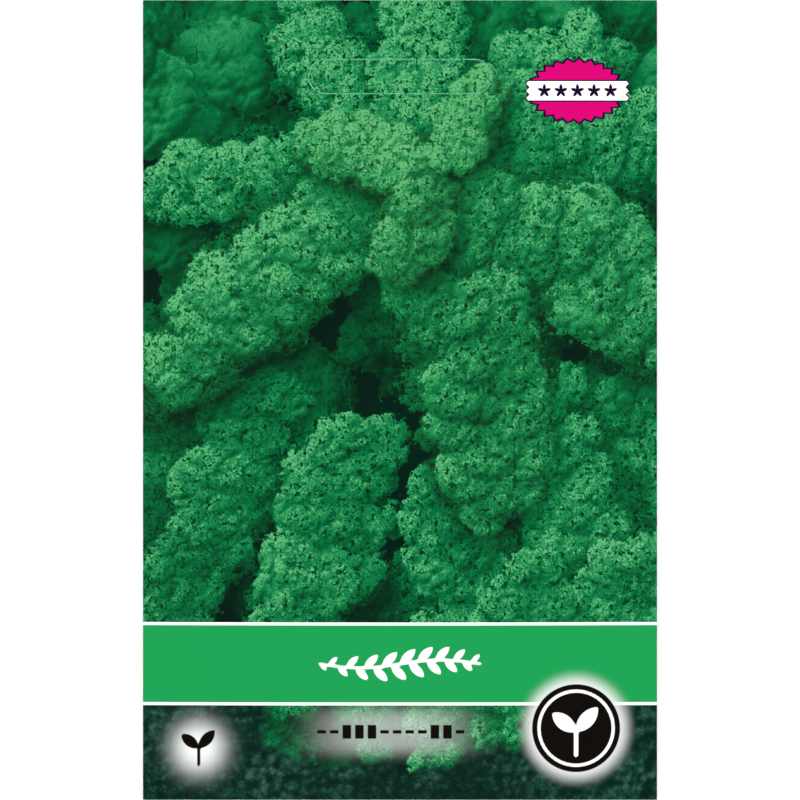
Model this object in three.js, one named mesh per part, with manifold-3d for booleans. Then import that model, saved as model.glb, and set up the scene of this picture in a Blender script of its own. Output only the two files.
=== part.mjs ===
// Seed packet lying on its back: one die-cut paper sheet folded and glued into an envelope,
// with a perforated hang slot near its top edge and a glassine bag of loose seeds inside.
// Millimetres. +Z points out of the printed front, +Y towards the hang slot, and the origin is
// the middle of the back, on the surface that the packet lies on.
import * as THREE from "three";
import { mergeVertices } from "three/addons/utils/BufferGeometryUtils.js";
import Module from "manifold-3d";

// Outer paper envelope
const packetWidth = 90;
const packetHeight = 140;
const paper = 0.15;
const foldedEdge = 0.6; // front sheet, back sheet and the air between them at a side fold
const bulge = 3.2; // how far the filled bag lifts the front
const bulgePeak = 0.36; // height of the fullest place, as a share of the packet's height
const bulgeTaper = 1.75; // how fast the front falls away towards the top edge

// Flaps and seam on the back
const topFlap = { depth: 24, gapAtFold: 0.3, gapAtEdge: 5 };
const bottomFlap = { depth: 13, gapAtFold: 0.3, gapAtEdge: 4 };
const backShortOfFold = 6; // the back sheet stops this far short of the top and bottom folds
const seamFlapWidth = 11; // glue flap along the right side, inside the back sheet
const seamSetback = 1; // bare strip between the back sheet's edge and the right fold
const glueBite = 0.03; // glued sheets are joined by letting one sink this far into the other
const foldLap = 1; // a folded strip starts this far inside the sheet that it continues
const seamFlapShort = 2; // the glue flap ends this far short of the back sheet's ends
const overcut = 1; // a cutting block reaches this far past what it cuts

// Hang slot: a round-ended outline, cut through every sheet except at its nicks
const slotLength = 32;
const slotHeight = 6;
const slotFromTop = 13.4;
const slitCount = 18;
const slitWidth = 0.3;
const nick = 0.7;

// Glassine bag
const bagWidth = 56;
const bagHeight = 76;
const bagCentreY = -24;
const glassine = 0.1;
const bagEdge = 0.4;
const bagLip = { depth: 12, gap: 0.1, inFromSide: 1, flatBelow: 2 }; // its mouth, folded over its front
const bagShoulder = 11; // width of the slope from its flat edge up to the filled part
const clearance = 0.25; // air between pieces that lie on each other

// Seeds
const seedDiameter = 1.8;
const seedSpread = { x: 9.2, y: 6.4 }; // half axes of the settled patch
const seedCentreY = -30;
const seedSpacing = 0.84; // in diameters, so that neighbours sink into each other
const seedJitter = 0.05; // in diameters
const seedRandomStart = 20;

const wasm = await Module();
wasm.setup();

function toSolid(geometry) {
  const bare = geometry.clone();
  bare.deleteAttribute("normal");
  bare.deleteAttribute("uv");
  const merged = mergeVertices(bare, 1e-4);
  return new wasm.Manifold(
    new wasm.Mesh({
      numProp: 3,
      vertProperties: new Float32Array(merged.attributes.position.array),
      triVerts: new Uint32Array(merged.index.array),
    }),
  );
}

function toMesh(name, solid, material) {
  const { vertProperties, triVerts } = solid.getMesh();
  const geometry = new THREE.BufferGeometry();
  geometry.setAttribute("position", new THREE.BufferAttribute(vertProperties, 3));
  geometry.setIndex(new THREE.BufferAttribute(triVerts, 1));
  geometry.computeVertexNormals();
  const mesh = new THREE.Mesh(geometry, material);
  mesh.name = name;
  return mesh;
}

function box(xRange, yRange, zRange) {
  const size = [xRange, yRange, zRange].map(([low, high]) => high - low);
  const middle = [xRange, yRange, zRange].map(([low, high]) => (low + high) / 2);
  return toSolid(new THREE.BoxGeometry(...size).translate(...middle));
}

// An outline seen from the front, made into a prism between two heights.
function prism(points, zRange) {
  const depth = zRange[1] - zRange[0];
  const outline = new THREE.Shape(points);
  const geometry = new THREE.ExtrudeGeometry(outline, { depth, bevelEnabled: false });
  return toSolid(geometry.translate(0, 0, zRange[0]));
}

// Grid lines across a pouch: close together where its rim rounds, even over the middle.
function gridLines(half, rim, steps) {
  const flat = half - rim;
  const even = Array.from({ length: steps + 1 }, (_, i) => flat * ((2 * i) / steps - 1));
  const rounded = half - 0.3 * rim;
  return [-half, -rounded, ...even, rounded, half];
}

// A flat-bottomed pouch with a rounded rim. Its top stands crown(x, y) higher than a flat pouch's.
function pouch({ width, height, centreY, rimZ, rim, crown, steps }) {
  const xs = gridLines(width / 2, rim, steps[0]);
  const ys = gridLines(height / 2, rim, steps[1]);
  const positions = [];
  const place = (i, j, side) => {
    const inset = Math.min(width / 2 - Math.abs(xs[i]), height / 2 - Math.abs(ys[j]));
    const share = Math.min(inset / rim, 1);
    const round = rim * Math.sqrt(1 - (1 - share) ** 2);
    const y = ys[j] + centreY;
    const lift = side > 0 ? share * crown(xs[i], y) : 0;
    positions.push(xs[i], y, rimZ + side * round + lift);
    return positions.length / 3 - 1;
  };
  const onBorder = (i, j) => i % (xs.length - 1) === 0 || j % (ys.length - 1) === 0;
  const top = xs.map((_, i) => ys.map((_, j) => place(i, j, 1)));
  const bottom = xs.map((_, i) =>
    ys.map((_, j) => (onBorder(i, j) ? top[i][j] : place(i, j, -1))),
  );
  const triangles = [];
  for (let i = 0; i + 1 < xs.length; i++) {
    for (let j = 0; j + 1 < ys.length; j++) {
      const [a, b, c, d] = [top[i][j], top[i + 1][j], top[i + 1][j + 1], top[i][j + 1]];
      triangles.push(a, b, c, a, c, d);
      const [e, f, g, h] = [bottom[i][j], bottom[i + 1][j], bottom[i + 1][j + 1], bottom[i][j + 1]];
      triangles.push(e, g, f, e, h, g);
    }
  }
  const geometry = new THREE.BufferGeometry();
  geometry.setAttribute("position", new THREE.Float32BufferAttribute(positions, 3));
  geometry.setIndex(triangles);
  return toSolid(geometry);
}

// How far the front stands above a flat envelope: nothing at the folds, most over the seeds.
function packetCrown(x, y) {
  const across = 1 - (x / (packetWidth / 2)) ** 2;
  const up = y / packetHeight + 0.5;
  const along = (up / bulgePeak) * ((1 - up) / (1 - bulgePeak)) ** bulgeTaper;
  return bulge * Math.max(across, 0) * Math.max(along, 0);
}

// A sheet that lies flat, turns over round a half-circle fold and ends above itself. The profile is
// drawn across the fold, first axis towards the fold and second axis up. lowerSheet and upperSheet
// are the thicknesses of its two legs, and height is the fold's from outside to outside.
function foldedProfile({ freeEnd, foldEnd, upperEnd, lowerSheet, upperSheet, height }) {
  const outer = height / 2;
  const inner = (height - lowerSheet - upperSheet) / 2;
  const turn = foldEnd - outer;
  const profile = new THREE.Shape();
  profile.moveTo(freeEnd, 0);
  profile.lineTo(turn, 0);
  profile.absarc(turn, outer, outer, -Math.PI / 2, Math.PI / 2, false);
  profile.lineTo(upperEnd, height);
  profile.lineTo(upperEnd, height - upperSheet);
  profile.lineTo(turn, height - upperSheet);
  profile.absarc(turn, lowerSheet + inner, inner, Math.PI / 2, -Math.PI / 2, true);
  profile.lineTo(freeEnd, lowerSheet);
  return profile;
}

// A folded profile carried across the packet, from its left to its right. side is 1 at a fold that
// faces +Y and -1 at one that faces -Y.
function foldedStrip(profile, width, side, curveSegments) {
  const strip = new THREE.ExtrudeGeometry(profile, { depth: width, bevelEnabled: false, curveSegments });
  strip.translate(0, 0, -width / 2);
  const across = new THREE.Vector3(side, 0, 0);
  const towardsFold = new THREE.Vector3(0, side, 0);
  return strip.applyMatrix4(
    new THREE.Matrix4().makeBasis(towardsFold, new THREE.Vector3(0, 0, 1), across),
  );
}

// A flap of the envelope: folded over from the front and glued down on the back, with slanted ends.
function backFlap({ depth, gapAtFold, gapAtEdge }, side) {
  const fold = packetHeight / 2;
  const profile = foldedProfile({
    freeEnd: fold - depth,
    foldEnd: fold,
    upperEnd: fold - 2 * foldLap,
    lowerSheet: paper + glueBite,
    upperSheet: paper - 2 * glueBite,
    height: foldedEdge + paper - glueBite,
  });
  const strip = toSolid(foldedStrip(profile, packetWidth, side, 6));
  const wide = packetWidth / 2 - gapAtFold;
  const narrow = packetWidth / 2 - gapAtEdge;
  const beyond = fold + overcut;
  const outline = [
    [-narrow, side * (fold - depth)],
    [narrow, side * (fold - depth)],
    [wide, side * beyond],
    [-wide, side * beyond],
  ].map(([x, y]) => new THREE.Vector2(x, y));
  return strip.intersect(prism(outline, [-overcut, bulge]));
}

// The perforation: short slits along the hang slot's outline, with uncut nicks between them.
function slotSlits() {
  const y = packetHeight / 2 - slotFromTop;
  const radius = slotHeight / 2;
  const straight = slotLength / 2 - radius;
  const outline = new THREE.Path();
  outline.absarc(straight, y, radius, -Math.PI / 2, Math.PI / 2, false);
  outline.absarc(-straight, y, radius, Math.PI / 2, (3 * Math.PI) / 2, false);
  outline.closePath();
  const period = 1 / slitCount;
  const cut = period - nick / outline.getLength();
  const samples = 4;
  return Array.from({ length: slitCount }, (_, n) => {
    const along = Array.from({ length: samples + 1 }, (_, k) => n * period + (cut * k) / samples);
    const edge = (offset) =>
      along.map((u) => {
        const tangent = outline.getTangentAt(u % 1);
        const normal = new THREE.Vector2(tangent.y, -tangent.x);
        return outline.getPointAt(u % 1).addScaledVector(normal, offset);
      });
    const ring = [...edge(slitWidth / 2), ...edge(-slitWidth / 2).reverse()];
    return prism(ring, [-overcut, bulge]);
  });
}

function packetSheet() {
  const rim = foldedEdge / 2;
  const shared = { centreY: 0, rimZ: paper + rim, crown: packetCrown, steps: [16, 24] };
  const outside = pouch({ ...shared, width: packetWidth, height: packetHeight, rim });
  const inside = pouch({
    ...shared,
    width: packetWidth - 2 * paper,
    height: packetHeight - 2 * paper,
    rim: rim - paper,
  });
  const half = { x: packetWidth / 2, y: packetHeight / 2 };
  const beyond = { x: half.x + overcut, y: half.y + overcut };
  const acrossPacket = [-beyond.x, beyond.x];
  const alongPacket = [-beyond.y, beyond.y];
  const backHeight = [0, paper + rim - glueBite];
  const cuts = [1, -1].flatMap((side) => {
    const end = (fromFold) => [side * (half.y - fromFold), side * beyond.y].sort((a, b) => a - b);
    return [
      box(acrossPacket, end(backShortOfFold), backHeight),
      box(acrossPacket, end(foldLap), [0, bulge]),
    ];
  });
  const seamStep = box([half.x - seamSetback, beyond.x], alongPacket, [0, 2 * paper + 2 * glueBite]);
  const seamEnd = half.y - backShortOfFold - seamFlapShort;
  const seamFlap = box(
    [half.x - seamFlapWidth, half.x - paper / 2],
    [-seamEnd, seamEnd],
    [2 * paper - glueBite, 3 * paper],
  );
  const folded = [...cuts, seamStep]
    .reduce((sheet, cut) => sheet.subtract(cut), outside.subtract(inside))
    .add(seamFlap)
    .add(backFlap(topFlap, 1))
    .add(backFlap(bottomFlap, -1));
  return slotSlits().reduce((sheet, slit) => sheet.subtract(slit), folded);
}

// The bag lies on the back sheet, and its top follows the front sheet that it holds up.
const bagLow = 2 * paper + clearance;
const bagRim = bagEdge / 2;
const bagMouthY = bagCentreY + bagHeight / 2;

// How far the bag's top stands above its flat edge: nothing along the edge and under the folded lip.
function bagCrown(x, y) {
  const fromSide = bagWidth / 2 - Math.abs(x);
  const fromEnd = y - bagCentreY + bagHeight / 2;
  const fromLip = bagMouthY - bagLip.depth - bagLip.flatBelow - y;
  const shoulder = THREE.MathUtils.smoothstep(Math.min(fromSide, fromEnd, fromLip), 0, bagShoulder);
  const frontInside = foldedEdge + packetCrown(x, y);
  return shoulder * (frontInside - clearance - bagLow - bagEdge);
}

// The bag's back wall runs on past the mouth and is turned over its front.
function bagMouthLip() {
  const thickness = bagEdge + bagLip.gap + glassine;
  const profile = foldedProfile({
    freeEnd: bagMouthY - bagLip.depth,
    foldEnd: bagMouthY,
    upperEnd: bagMouthY - 2 * thickness,
    lowerSheet: glassine,
    upperSheet: glassine / 2,
    height: thickness - glassine / 4,
  });
  const strip = foldedStrip(profile, bagWidth - 2 * bagLip.inFromSide, 1, 4);
  strip.rotateY(Math.PI);
  return toSolid(strip.translate(0, 0, bagLow + thickness));
}

function innerBag() {
  const shared = { centreY: bagCentreY, rimZ: bagLow + bagRim, crown: bagCrown, steps: [14, 18] };
  const outside = pouch({ ...shared, width: bagWidth, height: bagHeight, rim: bagRim });
  const inside = pouch({
    ...shared,
    width: bagWidth - 2 * glassine,
    height: bagHeight - 2 * glassine,
    rim: bagRim - glassine,
  });
  const frontWall = [bagLow + glassine, bagLow + 2 * bagEdge];
  const mouth = box([-bagWidth, bagWidth], [bagMouthY - bagEdge, bagMouthY + overcut], frontWall);
  return outside.subtract(inside).subtract(mouth).add(bagMouthLip());
}

// Repeatable random numbers from 0 to 1.
function seededRandom(start) {
  let state = start;
  return () => {
    state = (1664525 * state + 1013904223) % 4294967296;
    return state / 4294967296;
  };
}

// One settled layer of round seeds, in staggered rows, sunk into their neighbours.
function seedPatch() {
  const random = seededRandom(seedRandomStart);
  const pitch = seedSpacing * seedDiameter;
  const rowPitch = pitch * Math.sin(Math.PI / 3);
  const restZ = bagLow + glassine + clearance + seedDiameter / 2;
  const shake = () => (2 * random() - 1) * seedJitter * seedDiameter;
  const seeds = [];
  const rows = Math.ceil(seedSpread.y / rowPitch);
  const columns = Math.ceil(seedSpread.x / pitch);
  for (let row = -rows; row <= rows; row++) {
    for (let column = -columns; column <= columns; column++) {
      const x = (column + (row % 2 === 0 ? 0 : 0.5)) * pitch;
      const y = row * rowPitch;
      if ((x / seedSpread.x) ** 2 + (y / seedSpread.y) ** 2 > 1) continue;
      const ball = new THREE.IcosahedronGeometry(seedDiameter / 2, 0);
      ball.rotateX(Math.PI * random()).rotateZ(Math.PI * random());
      ball.translate(x + shake(), seedCentreY + y + shake(), restZ);
      seeds.push(toSolid(ball));
    }
  }
  return wasm.Manifold.union(seeds);
}

const printedPaper = new THREE.MeshStandardMaterial({ color: 0x20744a, roughness: 0.4, metalness: 0 });
const glassinePaper = new THREE.MeshStandardMaterial({ color: 0xe9e3cf, roughness: 0.35, metalness: 0 });
const seedCoat = new THREE.MeshStandardMaterial({ color: 0x4a3226, roughness: 0.6, metalness: 0 });

const packet = new THREE.Group();
packet.add(
  toMesh("packet_sheet", packetSheet(), printedPaper),
  toMesh("inner_bag", innerBag(), glassinePaper),
  toMesh("seeds", seedPatch(), seedCoat),
);

export default packet;
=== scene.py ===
import bpy
import numpy as np
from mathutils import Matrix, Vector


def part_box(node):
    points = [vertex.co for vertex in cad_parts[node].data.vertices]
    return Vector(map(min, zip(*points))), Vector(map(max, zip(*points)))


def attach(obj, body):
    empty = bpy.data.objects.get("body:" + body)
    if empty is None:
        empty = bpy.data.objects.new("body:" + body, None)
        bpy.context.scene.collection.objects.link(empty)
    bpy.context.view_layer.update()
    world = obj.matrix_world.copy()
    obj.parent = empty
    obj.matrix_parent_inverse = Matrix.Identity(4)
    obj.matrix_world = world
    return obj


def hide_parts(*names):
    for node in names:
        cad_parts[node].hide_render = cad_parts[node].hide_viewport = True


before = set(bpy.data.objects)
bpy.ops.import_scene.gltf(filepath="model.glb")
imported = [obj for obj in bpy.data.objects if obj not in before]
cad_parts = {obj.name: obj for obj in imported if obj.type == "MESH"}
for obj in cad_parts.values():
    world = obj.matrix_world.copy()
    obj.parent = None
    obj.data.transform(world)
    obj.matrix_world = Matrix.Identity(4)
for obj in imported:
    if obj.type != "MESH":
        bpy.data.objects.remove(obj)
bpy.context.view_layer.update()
mm = 0.001  # metres in a millimetre

sheetLow, sheetHigh = (np.array(corner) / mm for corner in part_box("packet_sheet"))
packetWidth, packetHeight, packetDepth = sheetHigh - sheetLow
halfWidth, halfHeight = packetWidth / 2, packetHeight / 2


# a fixed shade of grey for each whole-number place and seed, from 0 to 1: mixed bits of the place
def scatter(column, row, seed):
    bits = (column.astype(np.int64) * 374761393 + row.astype(np.int64) * 668265263 + seed * 974634777)
    bits = bits & 0xFFFFFFFF
    bits = ((bits ^ (bits >> 13)) * 1274126177) & 0xFFFFFFFF
    return ((bits ^ (bits >> 16)) & 0xFFFFFFFF) / 4294967296.0


# three t squared less two t cubed: an even slope from 0 to 1 between two limits
def easeBetween(value, low, high):
    t = np.clip((value - low) / (high - low), 0, 1)
    return t * t * (3 - 2 * t)


# smooth grey blotches about one unit wide, from -0.5 to 0.5: corner shades blended across each square
def blotches(x, y, seed):
    column, row = np.floor(x), np.floor(y)
    u, v = easeBetween(x - column, 0, 1), easeBetween(y - row, 0, 1)
    near = scatter(column, row, seed) * (1 - u) + scatter(column + 1, row, seed) * u
    far = scatter(column, row + 1, seed) * (1 - u) + scatter(column + 1, row + 1, seed) * u
    return near * (1 - v) + far * v - 0.5


# round humps about one unit wide, 1 at the top: one less the square of the distance to the nearest of
# the points scattered one to a square
def humps(x, y, seed, reach=0.8):
    column, row = np.floor(x), np.floor(y)
    nearest = np.full(x.shape, 9.0)
    for stepX in (-1, 0, 1):
        for stepY in (-1, 0, 1):
            pointX = column + stepX + 0.1 + 0.8 * scatter(column + stepX, row + stepY, seed)
            pointY = row + stepY + 0.1 + 0.8 * scatter(column + stepX, row + stepY, seed + 1)
            nearest = np.minimum(nearest, np.hypot(x - pointX, y - pointY))
    return 1 - (nearest / reach) ** 2


# the mean over a square of each sample's neighbours, taken three times, by running sums
def soften(field, reach):
    side = 2 * reach + 1
    for axis in (0, 1, 0, 1, 0, 1):
        pad = [(0, 0), (0, 0)]
        pad[axis] = (reach + 1, reach)
        total = np.cumsum(np.pad(field, pad, mode="edge"), axis=axis)
        first = np.arange(field.shape[axis])
        field = (np.take(total, first + side, axis) - np.take(total, first, axis)) / side
    return field


# the leafy picture: its sample spacing, its light and its leaves from back to front
picture = {
    "sample": 0.4,
    "lump": (7.0, 2.4, 1.1),  # widths of lobes, tufts and curls
    "droop": 0.006,  # sideways leaves hang down by this times the square of their length
    "lightFrom": (-0.35, 0.62, 0.70),
    "shadows": ((0.95, 2.6, (1.2, 3.0)), (0.55, 0.8, (0.4, 0.9))),  # each one's strength, blur and fall
    "darkness": 0.05,  # where nothing grows
    "brighterRight": 0.0028,  # share by which leaves are brighter for each millimetre to the right
    "edgeBand": 0.25,  # how far outside a leaf's form its fine curls may reach
    "seed": 11,
    # leaves scattered behind and under the plant: the first value and the span of each one's x, y, turn,
    # length, half width and brightness
    "beds": (
        {
            "count": 60, "firstSeed": 500,
            "ranges": ((-50, 100), (80, -50), (-165, 150), (13, 9), (5.5, 3), (0.62, 0.38)),
            "look": {"lump": 0.9, "plump": 4.5, "cast": 0.55, "sharp": 0.25},
        },
        {
            "count": 40, "firstSeed": 900,
            "ranges": ((-50, 100), (26, -84), (-165, 150), (14, 10), (5.5, 3), (0.34, 0.24)),
            "look": {"lump": 0.9, "plump": 5.0, "cast": 0.60, "sharp": 0.6},
        },
    ),
    # the plant, from its hindmost leaves to its foremost: root, turn in degrees, length and half width
    "plantSeed": 31,
    "plumpAt": 22,  # half width at which a leaf would be as plump as its group says
    "plant": (
        {
            "plump": 3.4, "bright": 0.95, "ragged": 0.20, "warm": 0.0,
            "leaves": (
                ((12, 43), 46, 32, 9.5), ((-4, 45), 122, 28, 9), ((4, 43), 90, 28, 9.5),
                ((13, 41), 16, 42, 10.5), ((-2, 38), 170, 42, 8.5),
            ),
        },
        {
            "plump": 3.0, "bright": 1.12, "ragged": 0.30, "warm": 0.0,
            "leaves": (
                ((-20, -48), 258, 16, 9), ((-4, -47), 275, 15, 8), ((8, -47), 268, 17, 9),
                ((17, -48), 280, 14, 7),
            ),
        },
        {
            "plump": 3.0, "bright": 1.02, "ragged": 0.60, "warm": 0.0,
            "leaves": (
                ((-38, 2), 250, 36, 10), ((38, 4), 286, 40, 11), ((-22, 3), 240, 40, 11),
                ((25, 2), 286, 46, 11.5), ((-7, -2), 254, 44, 11), ((9, -10), 274, 38, 10.5),
                ((-38, -24), 256, 30, 9.5), ((40, -24), 262, 30, 9.5), ((21, -28), 280, 30, 10),
                ((-16, -30), 258, 26, 10),
            ),
        },
        {
            "plump": 3.4, "bright": 1.03, "ragged": 0.30, "warm": 0.12,
            "leaves": (((11, 33), 344, 50, 12.5), ((-1, 34), 202, 52, 12), ((7, 28), 286, 50, 12)),
        },
        {
            "plump": 3.4, "bright": 1.02, "ragged": 0.20, "warm": 0.35,
            "leaves": (((6, 40), 160, 24, 6.5), ((7, 38), 240, 18, 6.5), ((7, 41), 60, 18, 5.5)),
        },
    ),
}

# how a leaf is formed and shaded: lobes, tufts and curls are its humps of three sizes
leafForm = {
    "wander": ((6.0, 3.0), (2.2, 1.2)),  # swirls that stir the humps: how wide, and how far they carry
    "stirred": (1.0, 1.0, 0.6),  # the share of that which each size of hump takes
    "ends": 3.2,  # powers that round the form's ends and sides: higher is squarer
    "sides": 2.2,
    "narrowest": 0.55,  # width at its ends, as a share of the middle's
    "rough": (0.80, 0.55, 0.36),  # how far each size of hump roughens the outline
    "rags": {"width": 3.4, "bite": 0.5, "uneven": 1.6},  # how a ragged edge is eaten away
    "rib": {"halfWidth": 0.12, "depth": 0.35},
    "swell": {"lobe": 0.32, "raise": 0.25, "power": 0.6},  # the broad rise under the humps
    "relief": (0.55, 0.80, 0.40),  # the height of each size of hump
    "steepness": 0.75,
    "shade": (0.27, 0.67),  # tone in the dark, and what full light adds
    "hollows": ((0.35, 0.5), (0.55, 1.1)),  # below this height lobes and tufts darken, and how fast
    "tipDarker": 0.30,
    "edgePaler": 0.14,
    "coverEdge": 0.08,  # rise of its form over which its edge fades in
    # patches in which the print draws its fine frills more or less strongly
    "frills": {"width": 3.2, "least": 0.60, "more": 0.55, "from": -0.38, "to": -0.12},
}

# a leaf's lobes: their spacing, size and set in leaf widths, their lean in degrees, and their look
lobes = {
    "core": 0.95,
    "coreBright": 0.45,
    "pitch": 0.72,
    "narrowest": 0.60,
    "length": 0.92,
    "halfWidth": 0.46,
    "setback": 0.35,
    "apart": 0.12,
    "lean": 48,
    "twist": 16,
    "lump": 0.8,
    "facing": 0.12,  # how much brighter it is towards the light
    "uneven": 0.10,
    "shadows": ((0.34, 0.8, (0.4, 0.9)),),
}

# the soil below: leaves stay in view in one gap, whose edge wanders by blotches of two widths
soilForm = {
    "below": -53.4,
    "gap": {
        "middle": (-2.0, -54), "reach": (26, 10.8), "edge": ((4, 0.5), (1.5, 0.3)), "ends": (0.75, 1.05),
    },
    "wander": (5.0, 2.0),
    "crumbs": ((2.6, 0.75), (1.2, 0.40)),  # width and height
    "clods": 1.6,
    "shade": (0.92, 0.55),
}

pictureColumns = int(round(packetWidth / picture["sample"])) + 1
pictureRows = int(round(packetHeight / picture["sample"])) + 1
pictureX = np.linspace(-halfWidth, halfWidth, pictureColumns)[None, :] * np.ones((pictureRows, 1))
pictureY = np.linspace(halfHeight, -halfHeight, pictureRows)[:, None] * np.ones((1, pictureColumns))
leafFields = ("tone", "below", "edge", "frill", "warm")
samples = {name: np.zeros(pictureX.shape) for name in (*leafFields, "soil", "crumb")}
for name in ("tone", "below"):
    samples[name] += picture["darkness"]


# the field moved right and down the picture by whole samples, with its border repeated
def movedBy(field, right, down):
    right, down = (int(round(v / picture["sample"])) for v in (right, down))
    padded = np.pad(field, ((down, 0), (right, 0)), mode="edge")
    return padded[: field.shape[0], : field.shape[1]]


# the light on a relief, from 0 to 1: the light's way along the relief's upright, found from its slopes
def lightOn(height):
    slopeDown, slopeRight = np.gradient(height, picture["sample"])
    light = np.array(picture["lightFrom"]) / np.linalg.norm(picture["lightFrom"])
    lit = light[2] - slopeRight * light[0] + slopeDown * light[1]
    return np.clip(lit / np.sqrt(1 + slopeRight**2 + slopeDown**2), 0, 1)


# a leaf's width along its length s, as a share of its widest: a sine's hump, down to the share at its ends
def widthAt(s, atEnds):
    return atEnds + (1 - atEnds) * np.sin(np.pi * np.clip(0.12 + 0.80 * s, 0, 1))


# one curly leaf painted over what is there. Along the leaf is s, from 0 to 1, and across it t, from -1
# to 1. Its form is one less s and t to high powers, and its outline is where that form, roughened by
# humps of three sizes and eaten away where it is ragged, is above nothing. Its height is a power of the
# form with the humps added, and its tone is the light on that height. What lies under it is darkened by
# its shadow and kept as the tone below, so that the print can draw the outline finer than the samples.
def paintLeaf(root, turn, length, width, seed, lump, plump, bright, cast, sharp=1.0, warm=0.0, ragged=0.0,
              shadows=picture["shadows"]):
    turn = np.radians(turn)
    along = np.array([np.cos(turn), np.sin(turn)])
    across = np.array([-along[1], along[0]])
    fromRoot = np.stack([pictureX - root[0], pictureY - root[1]], -1)
    a, b = fromRoot @ along, fromRoot @ across
    b = b + across[1] * picture["droop"] * a * np.abs(a)
    near = (np.abs(a / length - 0.5) < 0.8) & (np.abs(b) < 1.7 * width)
    if not near.any():
        return
    margin = int(8 / picture["sample"])  # room for its shadow
    window = tuple(
        slice(max(found[0] - margin, 0), found[-1] + margin)
        for found in (np.flatnonzero(near.any(1)), np.flatnonzero(near.any(0)))
    )
    a, b = a[window], b[window]
    s, t = a / length, b / width
    wanderA, wanderB = (
        sum(carry * blotches(a / wide, b / wide, seed + extra + number)
            for number, (wide, carry) in enumerate(leafForm["wander"]))
        for extra in (0, 3)
    )
    lobe, tuft, curl = (
        humps(
            (a + share * wanderA) / (wide * lump), (b + share * wanderB) / (0.93 * wide * lump), seed + extra
        )
        for wide, share, extra in zip(picture["lump"], leafForm["stirred"], (0, 11, 17))
    )
    form = 1 - np.abs(2 * s - 1) ** leafForm["ends"]
    form = form - np.abs(t / widthAt(s, leafForm["narrowest"])) ** leafForm["sides"]
    body = form + sum(share * (hump - 0.5) for share, hump in zip(leafForm["rough"], (lobe, tuft, curl)))
    rags = leafForm["rags"]
    uneven = blotches((a + wanderA) / rags["width"], (b + wanderB) / rags["width"], seed + 31)
    body = body - ragged * (rags["bite"] + rags["uneven"] * uneven)

    groove = np.exp(-((t / leafForm["rib"]["halfWidth"]) ** 2)) * np.clip(1.1 - s, 0, 1)
    swell = np.clip(form + leafForm["swell"]["lobe"] * (lobe - 0.5) + leafForm["swell"]["raise"], 0, None)
    lobeHeight, tuftHeight, curlHeight = leafForm["relief"]
    height = plump * swell ** leafForm["swell"]["power"] - leafForm["rib"]["depth"] * groove
    height = height + lump * (lobeHeight * lobe + tuftHeight * tuft) + curlHeight * curl
    lit = lightOn(leafForm["steepness"] * height)
    hollow = sum(
        rate * np.clip(level - hump, 0, None)
        for (level, rate), hump in zip(leafForm["hollows"], (lobe, tuft))
    )
    inDark, inLight = leafForm["shade"]
    leafTone = bright * (inDark + inLight * lit) * np.exp(-hollow)
    leafTone = leafTone * (1 - leafForm["tipDarker"] * np.clip(s - 0.6, 0, 1))
    leafTone = leafTone * (1.04 + leafForm["edgePaler"] * easeBetween(body, 0.30, 0.0))
    frills = leafForm["frills"]
    patchy = blotches((a + wanderA) / frills["width"], (b + wanderB) / frills["width"], seed + 21)
    leafFrill = frills["least"] + frills["more"] * easeBetween(patchy, frills["from"], frills["to"])
    leafFrill = sharp * leafFrill * (1 - 0.3 * groove) * (0.85 + 0.15 * easeBetween(lit, 0.30, 0.70))

    shade = 1
    cover = easeBetween(body, 0, leafForm["coverEdge"])
    for strength, blur, falls in shadows:
        fallen = movedBy(soften(cover, int(blur / picture["sample"])), *falls)
        shade = shade * (1 - cast * strength * fallen)
    fields = {name: samples[name][window] for name in leafFields}
    fields["tone"] *= shade
    fields["below"] *= shade
    fields["frill"] *= 0.4 + 0.6 * shade
    covered = easeBetween(fields["edge"], 0, leafForm["coverEdge"])
    flat = fields["below"] + (fields["tone"] - fields["below"]) * covered
    band = picture["edgeBand"]
    beside = body > -band
    within = easeBetween(body, -band, -0.6 * band)
    fields["below"][beside] = flat[beside]
    fields["edge"][beside] = body[beside]
    for name, value, old in (
        ("tone", leafTone, flat), ("frill", leafFrill, fields["frill"]), ("warm", warm, fields["warm"])
    ):
        fields[name][beside] = (old + (value - old) * within)[beside]


# a leaf of the plant, as overlapping lobes on a plain dark one: from its tip back to its root a lobe leans
# out to each side of the rib, and one lies along it, each over the last, brighter where it faces the light
def paintLobedLeaf(root, turn, length, width, seed, bright, **look):
    draw = np.random.default_rng(seed).random
    count = 3 * int(np.ceil(length / (lobes["pitch"] * width)))
    way = np.radians(turn)
    lightWay = np.arctan2(picture["lightFrom"][1], picture["lightFrom"][0])
    paintLeaf(root, turn, length, lobes["core"] * width, seed, lump=1.0, bright=lobes["coreBright"] * bright,
              cast=0.95, **look)
    for number in range(count):
        s, side = 1 - (number + draw()) / count, (-1, 1, 0)[number % 3]
        reach = width * widthAt(s, lobes["narrowest"])
        a = s * length - lobes["setback"] * reach * (0.7 + 0.6 * draw())
        b = side * lobes["apart"] * reach - np.cos(way) * picture["droop"] * a * abs(a)
        lean = turn + side * lobes["lean"] * (0.7 + 0.6 * draw()) + lobes["twist"] * (draw() - 0.5)
        facing = np.cos(np.radians(lean) - lightWay)
        place = (root[0] + a * np.cos(way) - b * np.sin(way), root[1] + a * np.sin(way) + b * np.cos(way))
        size = reach * (0.75 + 0.5 * draw())
        shade = 1 + lobes["facing"] * facing + lobes["uneven"] * (draw() - 0.5)
        paintLeaf(place, lean, lobes["length"] * size, lobes["halfWidth"] * size, seed + 41 * number,
                  lump=lobes["lump"], bright=bright * shade, cast=1.0, shadows=lobes["shadows"], **look)


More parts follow.
